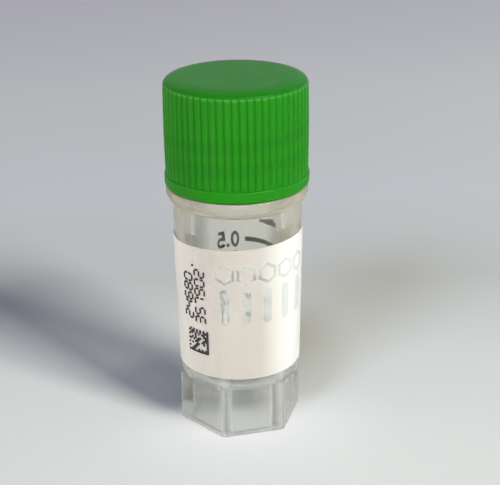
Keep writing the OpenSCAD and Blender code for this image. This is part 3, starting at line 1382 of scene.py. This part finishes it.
@dataclass
class VolumeScale:
    """The printed scale on the back: lines at each tenth of a millilitre, with numbers.

    Places along the wall are in degrees from the middle of the back towards +X. The fill
    limit's two bars have their ends' places, their ends' rises and their ends' widths.
    """

    wall: Wall
    bore_r: float
    floor_z: float
    step: float = 100.0
    marks: int = 5
    line_w: float = 0.45
    line_start: float = 8
    line_span: float = 58
    line_points: int = 24
    digit_h: float = 1.54
    digit_w: float = 1.0
    digit_stroke: float = 0.31
    first_digit: float = 1.1
    second_digit: float = -17.3
    point: float = -13.2
    gap: float = 0.03
    thickness: float = 0.06
    finish: Flecked = Flecked("grey scale ink", (0.045, 0.05, 0.05), (0.09, 0.095, 0.095))
    limit: tuple[tuple[int, Span, Span, Span], ...] = (
        (20, (62, 34), (0.24, 0.02), (0.55, 0.2)),
        (16, (54, 28.6), (0.54, 0.06), (0.28, 0.28)),
    )

    def level(self, volume: float) -> float:
        """Height of the liquid for a volume.

        Above the round bottom it is half a ball's volume plus a cylinder. Inside it the
        height solves the ball segment's cubic by its cosine formula.

        Args:
            volume: Volume in cubic millimetres.

        Returns:
            The liquid's height.
        """
        half_ball = 2 / 3 * math.pi * self.bore_r**3
        if volume >= half_ball:
            return self.floor_z + self.bore_r + (volume - half_ball) / (math.pi * self.bore_r**2)
        third = FULL_TURN / 3 - math.acos(1 - volume / half_ball) / 3
        return self.floor_z + self.bore_r * (1 + 2 * math.cos(third))

    def _along(self, degrees: float) -> float:
        """Millimetres along the wall for a place in degrees."""
        return -math.radians(degrees) * self.wall.high_r

    def _bar(
        self, ink: Ink, surface: Surface, points: int, places: Span, heights: Span, width: Any
    ) -> None:
        """Adds a straight bar between two places and two heights."""
        along = np.linspace(self._along(places[0]), self._along(places[1]), points)
        ink.ribbon(surface, np.stack([along, np.linspace(*heights, points)], axis=-1), width)

    def _digit(self, ink: Ink, surface: Surface, digit: str, left: float, height: float) -> None:
        """Adds one digit.

        Args:
            ink: The ink's wall.
            surface: The surface that takes it.
            digit: The digit.
            left: Place of its left side, read from behind.
            height: Height of its middle.
        """
        corner = np.array([self._along(left), height - self.digit_h / 2])
        size = np.array([self.digit_w, self.digit_h / 2])
        for stroke in DIGIT_STROKES[digit]:
            ink.ribbon(surface, corner + stroke * size, self.digit_stroke, closed=digit == "0")

    def build(self) -> None:
        """Makes the scale: each level's line, number and point, and the fill limit."""
        ink = Ink(self.wall, BACK, self.gap, self.thickness, self.wall.high_r)
        surface = Surface()
        line_ends = (self.line_start + self.line_span, self.line_start)
        for mark in range(1, self.marks + 1):
            height = self.level(self.step * mark)
            self._bar(ink, surface, self.line_points, line_ends, (height, height), self.line_w)
            self._digit(ink, surface, "0", self.first_digit, height)
            self._digit(ink, surface, str(mark), self.second_digit, height)
            spot = np.array([[self._along(self.point), height - self.digit_h / 2 + self.digit_stroke / 2]])
            ink.dots(surface, spot, self.digit_stroke, self.digit_stroke)
        height = self.level(self.step * (self.marks + 1))
        for points, places, (first, last), widths in self.limit:
            width = np.linspace(*widths, points)
            self._bar(ink, surface, points, places, (height + first, height + last), width)
        install(surface, "scale_print", Body.VIAL, Slot.GREY_INK, self.finish, "volume_scale")


@dataclass
class NumberPrint:
    """Two rows of plain dot-printed numbers beside the panel's square code.

    A number has its digits, the place of its base line in degrees from the front towards +X,
    and the height of its start above the rows' common start.
    """

    wall: Wall
    code_box: NodeBox
    gap: float = 0.16
    thickness: float = 0.06
    numbers: tuple[tuple[str, float, float], ...] = (("24680", -45.5, 0.3), ("357902", -32, 0.0))
    pitch: float = 0.92
    dot_pitch: float = 0.165
    dot: Span = (0.117, 0.1625)
    start_gap: float = 0.75
    stop_place: float = -44.2
    stop_rise: float = 5.6
    stop_w: float = 0.16
    finish: Flecked = Flecked("black code ink", (0.012, 0.009, 0.009), (0.045, 0.035, 0.035))

    def build(self) -> None:
        """Makes the numbers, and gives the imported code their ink.

        They read upwards, with the digits' tops towards -X, and a full stop ends them.
        """
        ink = Ink(self.wall, FRONT, self.gap, self.thickness, self.wall.low_r)
        surface = Surface()
        start = self.code_box.high + self.start_gap
        for digits, base, rise in self.numbers:
            for place, digit in enumerate(digits):
                across, up = digit_dots(digit).T * self.dot_pitch
                along = math.radians(base) * self.wall.low_r - up
                centres = np.stack([along, start + rise + place * self.pitch + across], axis=-1)
                ink.dots(surface, centres, *self.dot)
        stop = np.array([[math.radians(self.stop_place) * self.wall.low_r, start + self.stop_rise]])
        ink.dots(surface, stop, self.stop_w, self.stop_w)
        install(surface, "number_print", Body.VIAL, Slot.BLACK_INK, self.finish)
        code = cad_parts["code_print"]
        code.data.materials.clear()
        code.data.materials.append(self.finish.material())
        LOG.info("code_print: dressed as packed")


# The setting


@dataclass(frozen=True)
class StudioLamp:
    """A soft rectangular lamp that faces the vial. Its angles are in degrees, the rest in metres."""

    name: str
    azimuth: float
    elevation: float
    distance: float
    size: Span
    level: float
    colour: Colour

    def build(self, target: Vector) -> None:
        """Makes the lamp.

        A white surface that faces it shows its level: a lamp of power P at distance d
        gives P over pi squared times d squared.

        Args:
            target: The point that it faces, in metres.
        """
        turn, climb = math.radians(self.azimuth), math.radians(self.elevation)
        out = Vector((math.cos(turn) * math.cos(climb), math.sin(turn) * math.cos(climb), math.sin(climb)))
        light = bpy.data.lights.new(self.name, "AREA")
        light.shape = "RECTANGLE"
        light.size, light.size_y = self.size
        light.energy = self.level * math.pi**2 * self.distance**2
        light.color = self.colour
        facing = out.to_track_quat("Z", "Y").to_matrix().to_4x4()
        lamp = add_object(self.name, light)
        lamp.matrix_world = Matrix.Translation(target + out * self.distance) @ facing


@dataclass(frozen=True)
class Viewpoint:
    """Where the camera stands and how it looks. Its angles are in radians."""

    distance: float = 109.291
    height: float = 62.036
    turn: float = 0.010
    down: float = 0.388
    roll: float = -0.013
    lens: float = 92.08
    sensor: float = 36.0
    clip: Span = (0.005, 20.0)

    def build(self) -> None:
        """Makes the camera: it looks along +Y, turned, tilted down and rolled a little."""
        data = bpy.data.cameras.new("camera")
        data.lens, data.sensor_width = self.lens, self.sensor
        data.clip_start, data.clip_end = self.clip
        aim = Matrix.Rotation(-self.turn, 4, "Z")
        tilt = Matrix.Rotation(math.radians(90) - self.down, 4, "X")
        roll = Matrix.Rotation(self.roll, 4, "Z")
        place = Matrix.Translation(Vector((0, -self.distance, self.height)) * MM)
        camera = add_object("camera", data)
        camera.matrix_world = place @ aim @ tilt @ roll
        bpy.context.scene.camera = camera


@dataclass
class Studio:
    """Floor, surroundings, lamps and camera. The floor's half width is in metres."""

    floor_half: float = 2.0
    floor_drop: float = 0.02
    ambient: Colour = (0.90, 0.95, 1.0)
    ambient_level: float = 0.015
    backdrop: Colour = (0.58, 0.60, 0.64)
    lamps: tuple[StudioLamp, ...] = (
        StudioLamp("key", -43, 38, 0.60, (0.17, 0.17), 0.82, (1.0, 1.0, 0.86)),
        StudioLamp("cool fill", -120, 42, 0.5, (0.12, 0.12), 0.26, (0.72, 0.79, 1.0)),
        StudioLamp("right side", 9, 3, 0.5, (0.3, 0.05), 0.15, (0.67, 0.72, 1.0)),
        StudioLamp("left side", -170, 3, 0.5, (0.3, 0.05), 0.35, (1.0, 0.88, 0.67)),
        StudioLamp("low front", -90, 3, 0.5, (0.3, 0.05), 0.36, (1.0, 0.98, 0.90)),
    )

    def _floor(self) -> None:
        """Makes the floor a hair under the foot."""
        half, z = self.floor_half, -self.floor_drop * MM
        mesh = bpy.data.meshes.new("floor")
        corners = [(-half, -half, z), (half, -half, z), (half, half, z), (-half, half, z)]
        mesh.from_pydata(corners, [], [(0, 1, 2, 3)])
        mesh.materials.append(PaleFloor(self.backdrop).material())
        add_object("floor", mesh)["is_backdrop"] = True

    def _world(self) -> bpy.types.World:
        """A soft ambient light, with a plain backdrop to the eye and to reflections.

        Returns:
            The new world.
        """
        recipe = Recipe(bpy.data.worlds.new("studio"))
        light = recipe.node("Background", {"Color": self.ambient, "Strength": self.ambient_level})[0]
        straight, mirrored, through = recipe.rays("Camera", "Glossy", "Transmission")
        seen = straight.most(mirrored).most(through)
        backdrop = recipe.node("Background", {"Color": self.backdrop})[0]
        return recipe.finish(recipe.layers(light, (seen, backdrop)))

    def build(self, target: Vector) -> None:
        """Makes the setting.

        Args:
            target: The middle of the vial, in metres.
        """
        self._floor()
        bpy.context.scene.world = self._world()
        for lamp in self.lamps:
            lamp.build(target)
        Viewpoint().build()
        bpy.context.scene.view_settings.view_transform = "Standard"
        LOG.info("studio: %d lamps", len(self.lamps))


def main() -> None:
    """Builds the vial, its cap, seal and prints, and the studio, in that order."""
    logging.basicConfig(level=logging.INFO, format="%(name)s %(message)s")
    packed = [list(corner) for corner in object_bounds()]
    vial = Vial(NodeBox.of("vial"))
    vial.build()
    Cap(NodeBox.of("cap")).build()
    Seal(NodeBox.of("sealing_washer")).build()
    WritingPanel(NodeBox.of("writing_panel"), vial.wall()).build()
    VolumeScale(vial.wall(), vial.bore_r, vial.floor_z).build()
    NumberPrint(vial.wall(), NodeBox.of("code_print")).build()
    low, high = (Vector(corner) for corner in packed)
    Studio().build((low + high) / 2)


if __name__ == "__main__":
    main()
